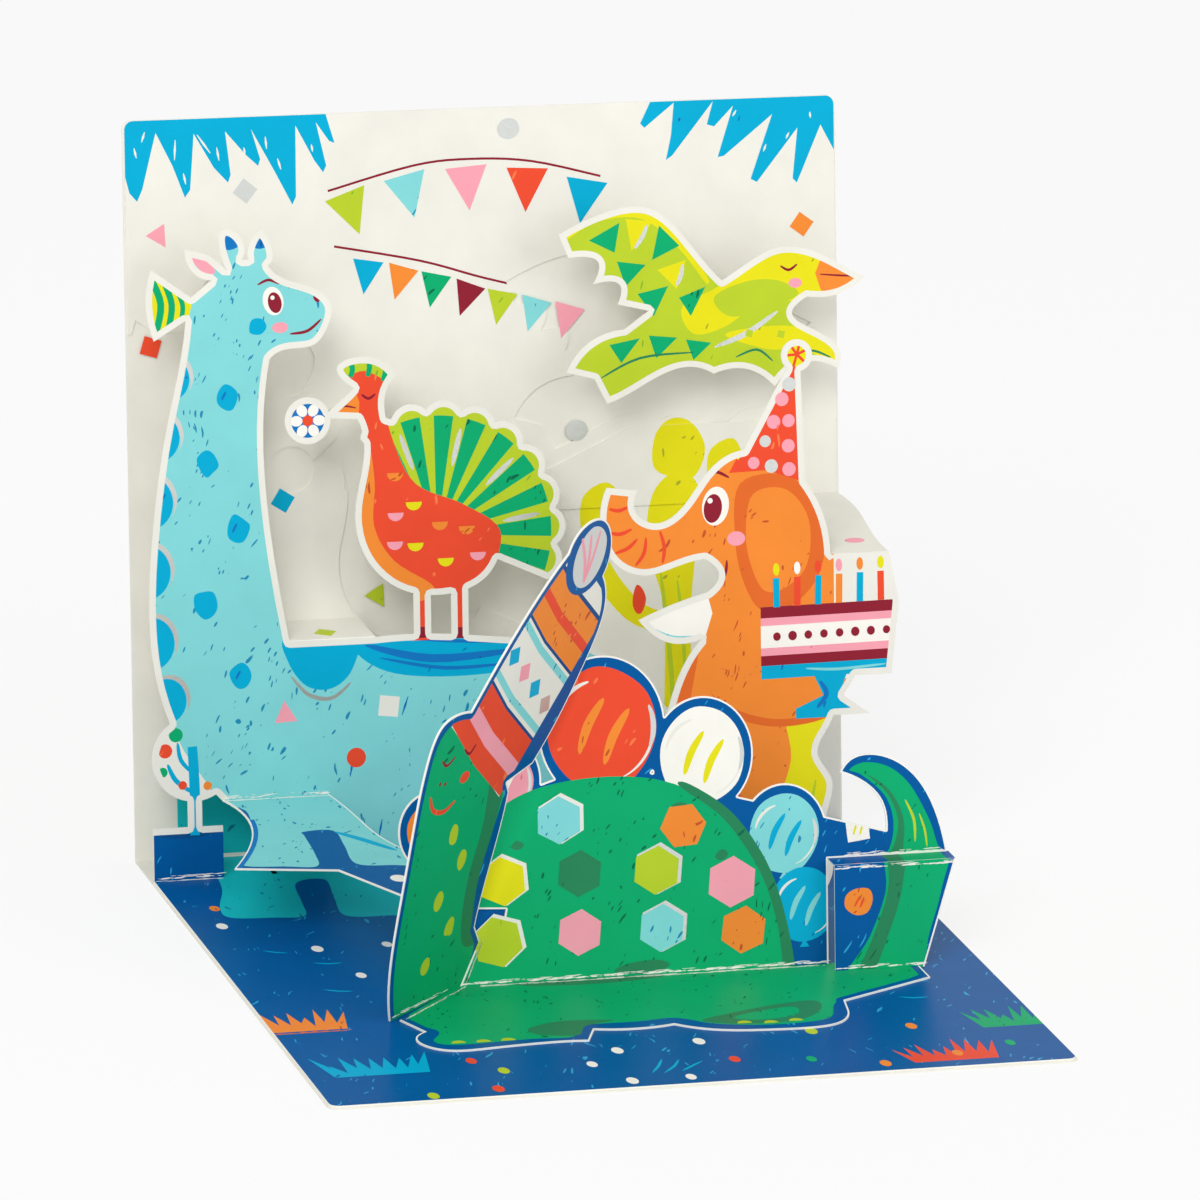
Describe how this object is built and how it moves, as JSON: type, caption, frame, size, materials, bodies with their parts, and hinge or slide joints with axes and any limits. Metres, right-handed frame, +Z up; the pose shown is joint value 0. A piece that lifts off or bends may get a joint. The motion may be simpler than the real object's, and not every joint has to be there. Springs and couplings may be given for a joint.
{
  "type": "pop up card",
  "caption": "Square folded pop up greeting card standing open, with punched printed paper animals raised on folded strips over a dark base panel.",
  "frame": {"origin": "centre of the base panel's underside", "axes": "+X to the right, +Y back towards the spine, +Z up; the back panel leans back 10 degrees from upright"},
  "size_m": [0.1353, 0.1569, 0.1317],
  "materials": {
    "cover_card": "uncoated cream card",
    "page_card": "coated printed card, satin",
    "cake_card": "coated printed card, satin",
    "tortoise_card": "coated printed card, satin",
    "bird_card": "coated printed card, satin",
    "riser_card": "uncoated cream card"
  },
  "bodies": {
    "root": {"cover": "cover_card", "inner_page": "page_card", "cake_sheet": "cake_card", "tortoise_sheet": "tortoise_card", "bird": "bird_card", "bird_riser": "riser_card"}
  },
  "joints": []
}
